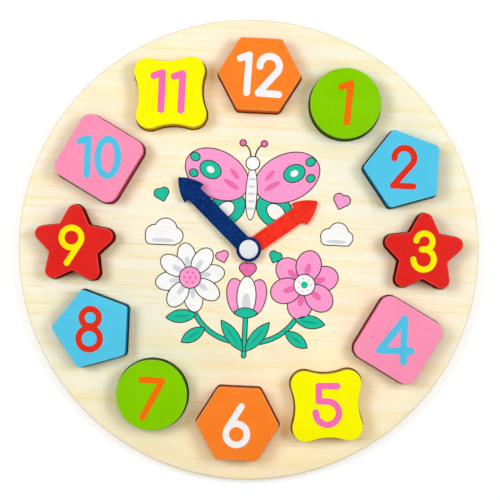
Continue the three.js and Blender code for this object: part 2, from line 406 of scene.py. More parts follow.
def paint(name, settings):
    finish = Finish(name, specular=0.02)
    brush = finish.noise((0.05, 1.3, 1.3), 3.0, 0.6, 0.2)
    mottle = finish.noise((0.5, 0.5, 0.5), 3.0, 0.6)
    cloud = finish.noise((0.06, 0.06, 0.06), 2.0)
    colour = finish.mix(finish.fade(cloud, 0.35, 0.7, 0.5), settings['face'], settings['faceDeep'])
    colour = finish.mix(finish.fade(mottle, 0.3, 0.75, 0.25), colour, settings['faceDeep'])
    colour = finish.mix(finish.fade(brush, 0.55, 0.8, 0.3), colour, settings['faceDeep'])
    rough = finish.fade(mottle, 0.3, 0.7, settings['roughness'] + 0.06, settings['roughness'] - 0.05)
    if 'side' in settings:
        # the walls are painted darker than the face as painted shade, with a darker band of painted
        # shade where they meet the board's face, and the rounded edges are painted lighter, partly
        # painted highlight and partly worn paint
        walls = finish.upright()
        streaky = finish.noise((1.1, 1.1, 0.12), 2.0, 0.6)
        height = finish.part(finish.millimetres, 2)
        # a band of painted shade, darkest at the height of the board's face, over random darker streaks
        above = finish.fade(height, shadeHighlightAndWear['foot'], shadeHighlightAndWear['middle'])
        below = finish.fade(height, shadeHighlightAndWear['middle'], shadeHighlightAndWear['head'], 0.0, 1.0)
        depth = finish.fade(streaky, 0.3, 0.7, shadeHighlightAndWear['streaks']) + shadeHighlightAndWear['ring'] * above * below
        side = finish.mix(depth, settings['side'], settings['sideDeepAndShade'])
        colour = finish.mix(walls, colour, side)
        patches = finish.fade(finish.noise((0.7, 0.7, 0.7), 2.0), 0.3, 0.6, 1.0, 0.45)
        # the rounded edges painted lighter: partly painted highlight, partly worn paint
        edgeHighlightAndWear = shadeHighlightAndWear['edges'] * finish.attribute('edge') * patches
        colour = finish.mix(edgeHighlightAndWear, colour, settings['rubbedAndHighlit'])
        rough = rough + 0.5 * walls
    relief = finish.bumped(brush, 0.02, 0.25)
    relief = finish.bumped(finish.noise((2.2, 2.2, 2.2), 2.0), 0.008, 0.3, relief)
    return finish.set(colour, rough, relief)


def plastic(name, settings):
    finish = Finish(name, specular=settings.get('specular', 0.5))
    speck = finish.noise((0.9, 0.9, 0.9), 4.0, 0.8)
    swirl = finish.noise((0.16, 0.16, 0.16), 3.0, 0.6, 1.2)
    clouds = finish.fade(swirl, 0.35, 0.65, settings['swirl'])
    flecks = finish.fade(speck, 0.5, 0.68, settings['speckle'])
    colour = finish.mix(clouds, settings['base'], settings['deep'])
    colour = finish.mix(flecks, colour, settings['bright'])
    rough = finish.fade(speck, 0.3, 0.7, settings['roughness'] + 0.08, settings['roughness'] - 0.06)
    relief = finish.bumped(speck, 0.02, settings['relief'])
    return finish.set(colour, rough, relief)


pine = {
    'pale': (254, 249, 227),
    'cream': (253, 241, 199),
    'gold': (249, 220, 150),
    'plyLight': (240, 218, 176),
    'plyMid': (222, 190, 140),
    'plyDark': (196, 156, 106),
    'streaks': 0.75,
    'plyBase': 3,
    'ply': 1,
    'roughness': 0.5,
    'shift': (3.1, 1.7, 0.4),
}
backPly = {
    'pale': (243, 226, 190),
    'cream': (235, 214, 172),
    'gold': (222, 190, 138),
    'plyLight': (236, 213, 170),
    'plyMid': (218, 186, 137),
    'plyDark': (192, 152, 104),
    'streaks': 0.6,
    'plyBase': 0,
    'ply': 1,
    'roughness': 0.6,
    'shift': (11.4, 5.2, 2.0),
}
pineFinish = boardWood('pine_face', pine)
backFinish = boardWood('back_plywood', backPly)


# Outlines of the blocks and their recesses, in millimetres. Radii are the sharp corners before
# they are rounded: a star has every second corner, its notches, on the inner circle.

blockShapes = {
    'hexagon': {'radii': [20.2], 'count': 6, 'start': 0, 'rounding': 2},
    'circle': {'radius': 17.1, 'sides': 96},
    'pentagon': {'radii': [20.05], 'count': 5, 'start': 180, 'rounding': 2},
    'star': {'radii': [24.3, 12.2], 'count': 10, 'start': 90, 'rounding': 3.8, 'notch': 1.5},
    'square': {'radii': [33.9 / math.sqrt(2)], 'count': 4, 'start': 45, 'rounding': 5.2},
    'wave': {'width': 34.2, 'hollowDepth': 1.85, 'lobe': 6.6},
}


def aroundCorner(before, corner, after, rounding, notch, grow):
    # an arc is its centre, its start and its turn in radians, anticlockwise positive
    turn = math.atan2(before.cross(after), before.dot(after))
    side = math.copysign(1, turn)
    radius = rounding + grow if side > 0 else notch - grow
    outward = Vector((before.y + after.y, -before.x - after.x))
    grown = corner + outward * grow / (1 + before.dot(after))
    start = grown - before * radius * math.tan(abs(turn) / 2)
    return start + Vector((-before.y, before.x)) * side * radius, start, turn


def polygonArcs(shape, grow):
    corners = []
    for i in range(shape['count']):
        angle = math.radians(shape['start'] + 360 * i / shape['count'])
        radius = shape['radii'][i % len(shape['radii'])]
        corners.append(Vector((radius * math.cos(angle), radius * math.sin(angle))))
    arcs = []
    for i, corner in enumerate(corners):
        before = (corner - corners[i - 1]).normalized()
        after = (corners[(i + 1) % len(corners)] - corner).normalized()
        arcs.append(aroundCorner(before, corner, after, shape['rounding'], shape.get('notch'), grow))
    return arcs


def waveArcs(shape, grow):
    # four lobes joined by hollow sides that run smoothly into them
    lobeOffset = shape['width'] / 2 - shape['lobe']
    waist = shape['width'] / 2 - shape['hollowDepth']
    rise = lobeOffset - waist
    hollow = (lobeOffset ** 2 + rise ** 2 - shape['lobe'] ** 2) / (2 * (shape['lobe'] + rise))
    half = math.atan2(lobeOffset, waist + hollow - lobeOffset)
    arcs = []
    for side in range(4):
        heading = math.radians(90 * side)
        quarter = Matrix.Rotation(heading, 2)
        lobeMiddle = Vector((lobeOffset, lobeOffset))
        for centre, radius, start, turn in (
            (Vector((waist + hollow, 0)), hollow - grow, heading + math.pi + half, -2 * half),
            (lobeMiddle, shape['lobe'] + grow, heading - half, math.pi / 2 + 2 * half),
        ):
            centre = quarter @ centre
            arcs.append((centre, centre + toward(start) * radius, turn))
    return arcs


def outlined(name, arcs, height, stepDegrees=6):
    # a flat face inside arcs joined by straight lines, drawn from one point
    point = arcs[0][1]
    piece = startPlane(name, 1, (*point, height))
    edit(piece)
    bpy.ops.mesh.select_mode(type='VERT')
    selectAll()
    bpy.ops.mesh.merge(type='CENTER')
    for centre, start, turn in arcs:
        if (start - point).length > 1e-6:
            extrude(start.x - point.x, start.y - point.y, 0)
        steps = max(2, math.ceil(math.degrees(abs(turn)) / stepDegrees))
        swing(centre, height, turn, steps)
        point = centre + Matrix.Rotation(turn, 2) @ (start - centre)
    selectAll()
    bpy.ops.mesh.remove_doubles(threshold=1e-7)
    bpy.ops.mesh.edge_face_add()
    bpy.ops.object.mode_set(mode='OBJECT')
    return piece


def thickened(piece, thickness):
    edit(piece)
    extrude(0, 0, thickness)
    leaveEdit()
    return piece


def shapeSolid(name, shape, low, high, grow=0):
    if 'radius' in shape:
        piece = startCircle(name, shape['sides'], shape['radius'] + grow, low)
    else:
        arcs = waveArcs if 'lobe' in shape else polygonArcs
        piece = outlined(name, arcs(shape, grow), low)
    return thickened(piece, high - low)


# Where each block stands

places = {
    'ring': ((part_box('block_1_circle')[0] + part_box('block_1_circle')[1]) / 2).xy.length / mm,
    'order': ['hexagon', 'circle', 'pentagon', 'star', 'square', 'wave'],
    'offHour': [0.9, 0.9, 0.1, -1.3, -1.4, 0.7],
    'lean': {'wave': 4.7},
    'clearance': 0.6,
    'hourDegrees': 30,
}
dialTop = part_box('dial_board')[1].z / mm
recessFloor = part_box('dial_board')[0].z / mm
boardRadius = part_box('dial_board')[1].x / mm
hours = range(1, 13)


def blockPlace(hour):
    kind = hour % len(places['order'])
    angle = math.radians(90 - places['hourDegrees'] * hour - places['offHour'][kind])
    shape = places['order'][kind]
    middle = toward(angle).to_3d() * places['ring'] * mm
    lean = math.radians(places['lean'].get(shape, 0))
    return shape, middle, lean + (angle if shape == 'square' else 0)


def standAt(piece, hour):
    shape, middle, turn = blockPlace(hour)
    piece.rotation_euler.z = turn
    piece.location = middle
    settle(piece)


# Boards

dial = {'sides': 256, 'rounding': 1, 'easing': 0.25, 'easingSteps': 2}
hole = {'radius': 4.25, 'counterbore': 7.3, 'depth': 1.8, 'sides': 64}
# how far a cutter reaches past what it cuts
spare = 1


def roundCutter(radius, low, high, sides=hole['sides']):
    return turned('cutter', [(radius, low), (radius, high)], sides)


def makeDialBoard():
    rounding = dial['rounding']
    piece = turned('dial_board_pine', [
        (boardRadius, recessFloor),
        *roundedProfile(boardRadius - rounding, dialTop - rounding, rounding, 0, 90),
    ], dial['sides'])
    low, high = recessFloor - spare, dialTop + spare
    cutters = [roundCutter(hole['radius'], low, high)]
    for hour in hours:
        shape = blockShapes[blockPlace(hour)[0]]
        cutter = shapeSolid('cutter', shape, low, high, places['clearance'])
        standAt(cutter, hour)
        cutters.append(cutter)
    cutAway(piece, joined(cutters))
    inner = (boardRadius - 2 * rounding) * mm

    def recessRim(edge):
        meetsWall = any(abs(face.normal.z) < 0.5 for face in edge.link_faces)
        return meetsWall and edge.verts[0].co.xy.length < inner

    edit(piece)
    easeRim(dialTop, dial, recessRim)
    leaveEdit()
    dress(piece, pineFinish)
    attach(piece, 'board')
    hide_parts('dial_board')


def makeBackBoard():
    rounding = dial['rounding']
    piece = turned('back_board_plywood', [
        *roundedProfile(boardRadius - rounding, rounding, rounding, -90, 0),
        (boardRadius, recessFloor),
    ], dial['sides'])
    cutAway(piece, roundCutter(hole['radius'], -spare, recessFloor + spare))
    cutAway(piece, roundCutter(hole['counterbore'], -spare, hole['depth']))
    dress(piece, backFinish)
    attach(piece, 'board')
    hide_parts('back_board')


makeDialBoard()
makeBackBoard()
print('boards made')


# Painted number blocks

block = {'bottom': 3, 'top': 17.97, 'easing': 0.5, 'easingSteps': 4, 'roughness': 0.42}
# each paint's wall colour is darker than its face: painted shade. Its deepest colour gives random
# streaks and a band of painted shade at the board's face, and its rubbed colour lightens the rounded
# edges, partly as painted highlight, partly as worn paint
paints = {
    'hexagon': {
        'slot': 'orange_paint', 'face': (255, 134, 43), 'faceDeep': (252, 124, 33),
        'side': (248, 118, 36), 'sideDeepAndShade': (114, 12, 0), 'rubbedAndHighlit': (255, 184, 128),
    },
    'circle': {
        'slot': 'green_paint', 'face': (136, 210, 0), 'faceDeep': (127, 200, 0),
        'side': (84, 142, 2), 'sideDeepAndShade': (12, 42, 0), 'rubbedAndHighlit': (176, 226, 84),
    },
    'pentagon': {
        'slot': 'blue_paint', 'face': (88, 204, 239), 'faceDeep': (76, 194, 231),
        'side': (18, 138, 182), 'sideDeepAndShade': (0, 44, 60), 'rubbedAndHighlit': (140, 224, 246),
    },
    'star': {
        'slot': 'red_paint', 'face': (229, 40, 35), 'faceDeep': (217, 32, 27),
        'side': (172, 14, 12), 'sideDeepAndShade': (56, 0, 0), 'rubbedAndHighlit': (250, 118, 104),
    },
    'square': {
        'slot': 'pink_paint', 'face': (255, 151, 188), 'faceDeep': (253, 140, 179),
        'side': (222, 86, 122), 'sideDeepAndShade': (84, 4, 18), 'rubbedAndHighlit': (255, 190, 210),
    },
    'wave': {
        'slot': 'yellow_paint', 'face': (255, 252, 2), 'faceDeep': (253, 244, 1),
        'side': (252, 208, 4), 'sideDeepAndShade': (122, 72, 0), 'rubbedAndHighlit': (255, 250, 110),
    },
}


def markEdges(piece):
    # 1 along the rounded edges, where the paint is lighter: partly painted highlight, partly worn paint
    attribute = piece.data.attributes.new('edge', 'FLOAT', 'POINT')
    low, high = block['bottom'], block['top']
    for vert, value in zip(piece.data.vertices, attribute.data):
        height = vert.co.z / mm
        ends = min(high - height, height - low)
        value.value = 1.0 if 0.01 < ends < block['easing'] - 0.01 else 0.0


def makeBlocks():
    for shape in places['order']:
        model = shapeSolid('block', blockShapes[shape], block['bottom'], block['top'])
        edit(model)
        easeRim(block['top'], block)
        easeRim(block['bottom'], block)
        leaveEdit()
        markEdges(model)
        coat = {'roughness': block['roughness'], **paints[shape]}
        dress(model, paint(shape + '_paint', coat))
        for hour in (hour for hour in hours if blockPlace(hour)[0] == shape):
            piece = placed('painted_' + shape + '_' + str(hour), model.data.copy())
            piece.data.name = piece.name
            standAt(piece, hour)
            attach(piece, 'number_' + str(hour))
            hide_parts('block_' + str(hour) + '_' + shape)
        bpy.data.objects.remove(model)


makeBlocks()
print('blocks made')


# Numerals, each drawn round its own middle, which sits at a place on the block. A stroke is a
# start point and its legs: a point to go straight to, or a centre and the degrees to turn about
# it, anticlockwise positive. An oval has a centre and two radii.

def drawn(ink, width, strokes, layer=0, **more):
    return {'ink': ink, 'width': width, 'strokes': strokes, 'layer': layer, **more}


numeral = {
    'top': 17.998, 'sunk': 0.05, 'scale': 1.016, 'roughness': 0.4,
    'capSides': 28, 'ovalSides': 56, 'stepDegrees': 8,
}
numerals = {
    1: drawn('orange', 3.2, [
        [(-2.0, 8.1), (2.4, 10.0)],
        [(2.4, 10.0), (1.3, -8.4)],
    ], at=(-0.34, -0.6)),
    2: drawn('red', 3.0, [
        [(-4.4, 4.5), {'centre': (0.3, 4.8), 'turn': -223}, (-4.5, -8.5)],
        [(-4.5, -8.5), (5.1, -8.5)],
    ], at=(-0.68, 0.46)),
    3: drawn('yellow', 2.8, [
        [(-3.15, 5.9), {'centre': (0.7, 5.6), 'turn': -265}, (-0.4, 1.8)],
        [(0.5, 1.95), {'centre': (0.7, -2.9), 'turn': -270}],
    ], at=(-0.72, 0.1)),
    4: drawn('blue', 3.4, [
        [(2.5, 10.1), (-8.7, -5.3)],
        [(-8.7, -5.3), (6.2, -5.0)],
        [(2.5, 10.1), (2.9, -10.3)],
    ], at=(0, 0.15)),
    5: drawn('pink', 3.1, [
        [(4.8, 8.4), (-4.0, 8.0)],
        [(-4.0, 8.0), (-3.6, 0.8)],
        [(-3.6, 0.8), (0.6, 0.9), {'centre': (0.7, -4.6), 'turn': -272}],
    ], at=(-0.41, 1.3)),
    6: drawn('white', 3.1, [
        [(1.6, 8.3), (-4.55, -2.53)],
    ], at=(-0.1, 0.2), ovals=[((-0.2, -5.0), 5.0, 5.0)]),
    7: drawn('orange', 3.1, [
        [(-5.2, 6.7), (4.4, 6.4)],
        [(4.4, 6.4), (-4.2, -11.2)],
    ], at=(0.34, 0.5)),
    8: drawn('red', 3.0, [], at=(-0.34, 0.48), ovals=[
        ((-1.0, 5.0), 4.1, 4.1),
        ((-1.0, -5.0), 5.1, 5.1),
    ]),
    9: drawn('yellow', 2.8, [
        [(-3.5, -8.4), (2.25, 1.31)],
    ], at=(0.85, -0.31), ovals=[((-1.8, 3.7), 4.7, 4.7)]),
    10: drawn('blue', 3.2, [
        [(-9.6, 7.4), (-5.7, 9.0)],
        [(-5.7, 9.0), (-5.6, -8.3)],
    ], at=(0.29, 0.1), ovals=[((4.0, 0.4), 4.8, 8.7)]),
    11: drawn('pink', 3.3, [
        [(-8.3, 8.1), (-4.2, 9.7)],
        [(-4.2, 9.7), (-4.2, -7.8)],
        [(1.4, 8.2), (5.4, 9.7)],
        [(5.4, 9.7), (5.3, -7.7)],
    ], at=(0.19, -0.58)),
    12: drawn('white', 3.3, [
        [(-9.3, 8.2), (-5.1, 9.9)],
        [(-5.1, 9.9), (-5.6, -7.9)],
        [(0.2, 4.8), {'centre': (4.8, 5.1), 'turn': -223.7}, (-0.1, -7.9)],
        [(-0.1, -7.9), (9.7, -8.2)],
    ], at=(-0.2, -1.1)),
}
inks = {
    'white': {'face': (251, 246, 246), 'faceDeep': (244, 239, 241)},
    'orange': {'face': (248, 115, 12), 'faceDeep': (239, 105, 8)},
    'red': {'face': (227, 52, 31), 'faceDeep': (217, 44, 25)},
    'yellow': {'face': (255, 242, 5), 'faceDeep': (250, 231, 2)},
    'blue': {'face': (84, 198, 234), 'faceDeep': (76, 190, 228)},
    'pink': {'face': (255, 114, 184), 'faceDeep': (248, 104, 176)},
}


def capAt(point, width):
    bpy.ops.mesh.primitive_circle_add(
        vertices=numeral['capSides'],
        radius=width / 2 * mm,
        fill_type='NGON',
        location=(point[0] * mm, point[1] * mm, 0),
    )


def crossBar(point, heading, width):
    # a plane squeezed to one edge across the stroke
    place = (point[0] * mm, point[1] * mm, 0)
    bpy.ops.mesh.primitive_plane_add(size=width * mm, location=place, rotation=(0, 0, heading))
    mesh = grid()
    along = toward(heading).to_3d()
    for vert in mesh.verts:
        if vert.select:
            vert.co -= along * (vert.co - Vector(place)).dot(along)
    bpy.ops.mesh.remove_doubles(threshold=1e-7)


def drawStroke(stroke, width):
    point, first = stroke[:2]
    if isinstance(first, dict):
        outward = math.atan2(point[1] - first['centre'][1], point[0] - first['centre'][0])
        heading = outward + math.copysign(math.pi / 2, first['turn'])
    else:
        heading = math.atan2(first[1] - point[1], first[0] - point[0])
    crossBar(point, heading, width)
    for leg in stroke[1:]:
        if isinstance(leg, dict):
            centre, turn = leg['centre'], math.radians(leg['turn'])
            swing(centre, 0, turn, round(abs(leg['turn']) / numeral['stepDegrees']))
            radial = Vector(point) - Vector(centre)
            point = (
                centre[0] + radial.x * math.cos(turn) - radial.y * math.sin(turn),
                centre[1] + radial.x * math.sin(turn) + radial.y * math.cos(turn),
            )
        else:
            extrude(leg[0] - point[0], leg[1] - point[1], 0)
            point = leg
    capAt(stroke[0], width)
    capAt(point, width)


def drawOval(centre, radiusX, radiusY, width):
    outer = (radiusX + width / 2, radiusY + width / 2)
    inner = (radiusX - width / 2, radiusY - width / 2)
    bpy.ops.mesh.primitive_circle_add(
        vertices=numeral['ovalSides'],
        radius=mm,
        fill_type='NOTHING',
        location=(centre[0] * mm, centre[1] * mm, 0),
    )
    stretch(*outer, (*centre, 0))
    extrude(0, 0, 0)
    stretch(inner[0] / outer[0], inner[1] / outer[1], (*centre, 0))


def drawnFilm(name, settings, thickness, grow=0):
    # strokes, rings and discs drawn flat, then merged into one film that stands on height 0
    piece = startPlane(name, 1, (0, 0, 0))
    edit(piece)
    bpy.ops.mesh.delete(type='VERT')
    width = settings['width'] + 2 * grow
    for stroke in settings['strokes']:
        drawStroke(stroke, width)
    for centre, radiusX, radiusY in settings.get('ovals', []):
        drawOval(centre, radiusX, radiusY, width)
    for centre, radius in settings.get('discs', []):
        capAt(centre, 2 * (radius + grow))
    selectAll()
    extrude(0, 0, thickness)
    outwards()
    bpy.ops.mesh.intersect_boolean(operation='UNION', use_self=True, threshold=1e-6, solver='EXACT')
    selectAll()
    bpy.ops.mesh.dissolve_limited(angle_limit=math.radians(0.5))
    leaveEdit()
    return piece


def makeNumeral(hour):
    settings = numerals[hour]
    piece = drawnFilm('numeral_' + str(hour), settings, numeral['sunk'])
    middle = blockPlace(hour)[1] + Vector((*settings['at'], 0)) * mm
    piece.scale = (numeral['scale'], numeral['scale'], 1)
    piece.location = (middle.x, middle.y, (numeral['top'] - numeral['sunk']) * mm)
    settle(piece)
    piece.data.materials.append(inkFinishes[settings['ink']])
    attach(piece, 'number_' + str(hour))


inkFinishes = {}
for ink, colours in inks.items():
    inkFinishes[ink] = paint(ink + '_numeral_ink', {'roughness': numeral['roughness'], **colours})
for hour in hours:
    makeNumeral(hour)
print('numerals drawn')


# Printed garden on the dial: thin films of ink, each on a slightly wider film of the line colour,
# in layers so that what lies over something else is printed over it. Places are from the rivet.

printing = {
    'sunk': 0.02, 'lineTop': 0.02, 'layer': 0.04, 'film': 0.02, 'line': 0.52,
    'sides': 44, 'heartTip': 0.3, 'heartStep': 12,
}
printInks = {
    'line': {'base': (50, 38, 42), 'deep': (38, 28, 32), 'grain': 0.25},
    'pink': {'base': (254, 160, 211), 'deep': (247, 142, 198), 'grain': 0.5},
    'rose': {'base': (240, 112, 176), 'deep': (230, 100, 164), 'grain': 0.5},
    'teal': {'base': (4, 196, 160), 'deep': (0, 178, 144), 'grain': 0.45},
    'fern': {'base': (0, 158, 128), 'deep': (0, 144, 116), 'grain': 0.45},
    'white': {'base': (253, 253, 252), 'deep': (246, 243, 236), 'grain': 0.6},
    'shade': {'base': (218, 220, 226), 'deep': (206, 208, 214), 'grain': 0.5},
}


def printInk(name, settings):
    # ink printed straight on the wood: its streaks show through a little and the fibres stand up
    finish = Finish('print_' + name, specular=0.15)
    streak = finish.noise(grain['streak'], 3.0, 0.6, 0.15, pine['shift'])
    fibre = finish.noise(grain['fibre'], 3.0, 0.65)
    dots = finish.noise((2.6, 2.6, 2.6), 1.0)
    streaks = finish.fade(streak, 0.45, 0.72, settings['grain'])
    colour = finish.mix(streaks, settings['base'], settings['deep'])
    colour = finish.mix(finish.fade(fibre, 0.35, 0.75, 0.3), colour, settings['deep'])
    rough = finish.fade(dots, 0.3, 0.7, 0.56, 0.42)
    relief = finish.bumped(fibre, 0.02, 0.4)
    return finish.set(colour, rough, relief)


def oval(ink, layer, at, radii, lean=0, **more):
    return {'ink': ink, 'layer': layer, 'at': at, 'radii': radii, 'lean': lean, **more}


def leaf(ink, layer, ends, bulge, **more):
    return {'ink': ink, 'layer': layer, 'ends': ends, 'bulge': bulge, **more}


def heart(ink, at, lobe, lean=0):
    return {'ink': ink, 'layer': 0, 'at': at, 'lobe': lobe, 'lean': lean}


def mirrored(shapes):
    # the same shapes again on the other side of the middle
    other = []
    for shape in shapes:
        twin = dict(shape)
        if 'at' in shape:
            twin['at'] = (-shape['at'][0], shape['at'][1])
            twin['lean'] = -shape['lean']
        if 'ends' in shape:
            twin['ends'] = [(-x, y) for x, y in reversed(shape['ends'])]
        other.append(twin)
    return shapes + other


def ringOf(ink, layer, count, centre, distance, radii, start=0, lapped=False, **more):
    # ovals set round a centre and pointing to it, such as petals; lapped ones lie in turn over and under
    shapes = []
    for i in range(count):
        heading = start + 360 * i / count
        spot = tuple(Vector(centre) + distance * toward(math.radians(heading)))
        shapes.append(oval(ink, layer + (i % 2 if lapped else 0), spot, radii, heading, **more))
    return shapes


daisy = [
    *ringOf('white', 1, 8, (-28, -15), 10.2, (6.6, 4.3), 12, lapped=True),
    *ringOf('shade', 3, 8, (-28, -15), 7.3, (3.0, 1.3), 12, bare=True),
    oval('pink', 4, (-28, -15), (5.0, 5.0)),
    *ringOf('rose', 5, 6, (-28, -15), 2.7, (0.7, 0.7), bare=True),
    oval('rose', 5, (-28, -15), (0.8, 0.8), bare=True),
]
pinkFlower = [
    *ringOf('pink', 1, 6, (28, -16), 9.6, (7.2, 5.9), 20, lapped=True),
    *ringOf('rose', 3, 6, (28, -16), 7.6, (3.2, 1.5), 20, bare=True),
    oval('white', 4, (28, -16), (4.9, 4.9)),
    *ringOf('shade', 5, 7, (28, -16), 3.2, (0.55, 0.55), bare=True),
    oval('teal', 5, (28, -16), (1.7, 1.7), bare=True),
]
tulip = [
    *mirrored([oval('pink', 1, (-4.6, -23.5), (4.6, 9.0), 13)]),
    oval('white', 2, (0, -23), (4.4, 9.6)),
    oval('shade', 3, (0, -26.5), (2.0, 5.0), bare=True),
    leaf('teal', 4, [(-5.5, -31), (5.5, -31)], 2.2),
]
stems = [
    drawn('teal', 1.7, [[(0, -32), (0, -52)]]),
    drawn('teal', 1.7, [[(-28, -20), {'centre': (-2.5, -20), 'turn': 78}]]),
    drawn('teal', 1.7, [[(28, -20), {'centre': (2.5, -20), 'turn': -78}]]),
    *mirrored([
        leaf('teal', 1, [(-24.5, -33), (-38.5, -35)], 2.9),
        leaf('fern', 2, [(-26.5, -33.4), (-36, -34.7)], 0.5, bare=True),
        leaf('teal', 1, [(-20, -39.5), (-30.5, -46.5)], 2.7),
        leaf('fern', 2, [(-21.5, -40.6), (-28.8, -45.4)], 0.45, bare=True),
        leaf('teal', 1, [(-0.8, -49.5), (-11.5, -35.5)], 2.8),
        leaf('fern', 2, [(-2.4, -47.3), (-10.2, -37.3)], 0.45, bare=True),
    ]),
]
butterfly = [
    *mirrored([
        oval('teal', 0, (-11.8, 19.5), (9.6, 7.4), 38),
        oval('white', 1, (-12.4, 18.8), (4.8, 3.4), 38),
        oval('pink', 1, (-17.2, 36), (16.4, 11.2), -27),
        oval('teal', 2, (-20.5, 38.2), (5.2, 3.9), -27),
        oval('white', 3, (-20.5, 38.2), (2.0, 1.5), -27, bare=True),
        oval('teal', 2, (-28.2, 44.2), (2.1, 1.8), -27),
        oval('teal', 2, (-28.6, 36.2), (1.9, 1.6), -27),
        oval('rose', 2, (-10.0, 31.5), (4.4, 1.3), -32, bare=True),
        oval('rose', 2, (-8.6, 36.6), (3.4, 1.1), -50, bare=True),
    ]),
    oval('white', 2, (0, 27.5), (2.5, 12.8)),
    *[oval('shade', 3, (0, 20 + 3.6 * i), (1.9, 0.7), bare=True) for i in range(5)],
    oval('white', 3, (0, 42.2), (3.1, 3.1)),
    drawn('line', 0.7, [
        [(-1.2, 44.5), {'centre': (-8.2, 45.5), 'turn': 62}],
        [(1.2, 44.5), {'centre': (8.2, 45.5), 'turn': -62}],
    ], 1, bare=True),
    *mirrored([oval('rose', 2, (-5.2, 52.0), (1.3, 1.3))]),
]
clouds = [
    drawn('white', 5.0, [[(-48, 3.2), (-37, 3.2)]], discs=[
        ((-46.4, 5.6), 4.2), ((-41.0, 7.8), 5.4), ((-36.4, 5.0), 3.8),
    ]),
    oval('shade', 1, (-42.2, 2.6), (5.6, 1.0), bare=True),
    drawn('white', 4.4, [[(37.5, 6.4), (47.5, 6.4)]], discs=[
        ((38.6, 8.2), 3.6), ((43.4, 10.2), 4.7), ((47.2, 7.8), 3.2),
    ]),
    oval('shade', 1, (42.6, 5.8), (5.0, 0.9), bare=True),
]
hearts = [
    heart('rose', (0, -10.6), 2.3),
    heart('teal', (-43.5, 24.5), 2.0, 18),
    heart('pink', (44, 25), 2.3, -16),
    heart('pink', (-12.5, -4.5), 1.7, 20),
    heart('teal', (13, -3.5), 1.7, -20),
]


def leafArcs(ends, bulge, grow):
    # two arcs of one radius that meet in a tip at each end
    first, last = Vector(ends[0]), Vector(ends[1])
    along = (last - first).normalized()
    across = Vector((along.y, -along.x))
    radius = ((last - first).length ** 2 / 4 + bulge ** 2) / (2 * bulge)
    middle = (first + last) / 2
    half = math.acos((radius - bulge) / (radius + grow))
    tip = along * (radius + grow) * math.sin(half)
    return [
        (middle - across * (radius - bulge), middle - tip, 2 * half),
        (middle + across * (radius - bulge), middle + tip, 2 * half),
    ]


def heartArcs(lobe, grow):
    # a square on its corner with a half circle on each of its two upper sides
    reach = lobe / math.sqrt(2)
    radius = lobe + grow
    notch = math.acos(-reach / radius)
    tipRadius = printing['heartTip'] + grow
    tip = Vector((0, -2 * reach + printing['heartTip'] * math.sqrt(2)))
    right, left = Vector((reach, reach)), Vector((-reach, reach))
    return [
        (right, right + toward(-math.pi / 4) * radius, notch + math.pi / 4),
        (left, left + toward(math.pi - notch) * radius, notch + math.pi / 4),
        (tip, tip + toward(5 * math.pi / 4) * tipRadius, math.pi / 2),
    ]


def printedFilm(shape, grow, top):
    # one closed film of ink, from just inside the board's face up to its top
    thickness = printing['sunk'] + top
    if 'radii' in shape:
        piece = thickened(startCircle('film', printing['sides'], 1, 0), thickness)
        piece.scale = (shape['radii'][0] + grow, shape['radii'][1] + grow, 1)
    elif 'ends' in shape:
        piece = thickened(outlined('film', leafArcs(shape['ends'], shape['bulge'], grow), 0), thickness)
    elif 'lobe' in shape:
        outline = outlined('film', heartArcs(shape['lobe'], grow), 0, printing['heartStep'])
        piece = thickened(outline, thickness)
    else:
        piece = drawnFilm('film', shape, thickness, grow)
    across, up = shape.get('at', (0, 0))
    piece.rotation_euler.z = math.radians(shape.get('lean', 0))
    piece.location = (across * mm, up * mm, (dialTop - printing['sunk']) * mm)
    settle(piece)
    return piece


def makePrint():
    finishes = {name: printInk(name, settings) for name, settings in printInks.items()}
    films = []
    for shape in stems + daisy + pinkFlower + tulip + butterfly + clouds + hearts:
        top = printing['lineTop'] + printing['layer'] * shape['layer']
        if not shape.get('bare'):
            line = printedFilm(shape, printing['line'], top)
            line.data.materials.append(finishes['line'])
            films.append(line)
        film = printedFilm(shape, 0, top + printing['film'])
        film.data.materials.append(finishes[shape['ink']])
        films.append(film)
    piece = joined(films)
    piece.name = 'dial_print'
    piece.data.name = piece.name
    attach(piece, 'board')


makePrint()
print('dial printed')


# Hands

handShape = {
    'hub': 6.1, 'shaft': 8.2, 'barb': 2.35, 'head': 11.1, 'sweep': 0.25, 'bulge': 0.8,
    'hole': 2.6, 'holeSides': 48, 'easing': 0.3, 'easingSteps': 3,
    'hubSteps': 19, 'sideSteps': 12, 'tipSteps': 5, 'shortOfMiddle': 4,
}
gateMark = {'along': 38, 'outer': 1.7, 'inner': 1.4, 'depth': 0.1, 'sides': 40}
hands = {
    'hour_hand': {'length': 40.7, 'tip': 1.1, 'heading': 52.3, 'slot': 'red_plastic'},
    'minute_hand': {'length': 48.8, 'tip': 0.7, 'heading': 313, 'slot': 'navy_plastic'},
}
handPlastics = {
    'hour_hand': {
        'base': (253, 52, 30), 'deep': (232, 34, 18), 'bright': (255, 100, 76),
        'swirl': 0.8, 'speckle': 0.22, 'roughness': 0.42, 'relief': 0.5, 'specular': 0.05,
    },
    'minute_hand': {
        'base': (2, 46, 113), 'deep': (0, 34, 90), 'bright': (44, 92, 170),
        'swirl': 0.9, 'speckle': 0.42, 'roughness': 0.4, 'relief': 0.8, 'specular': 0.03,
    },
}


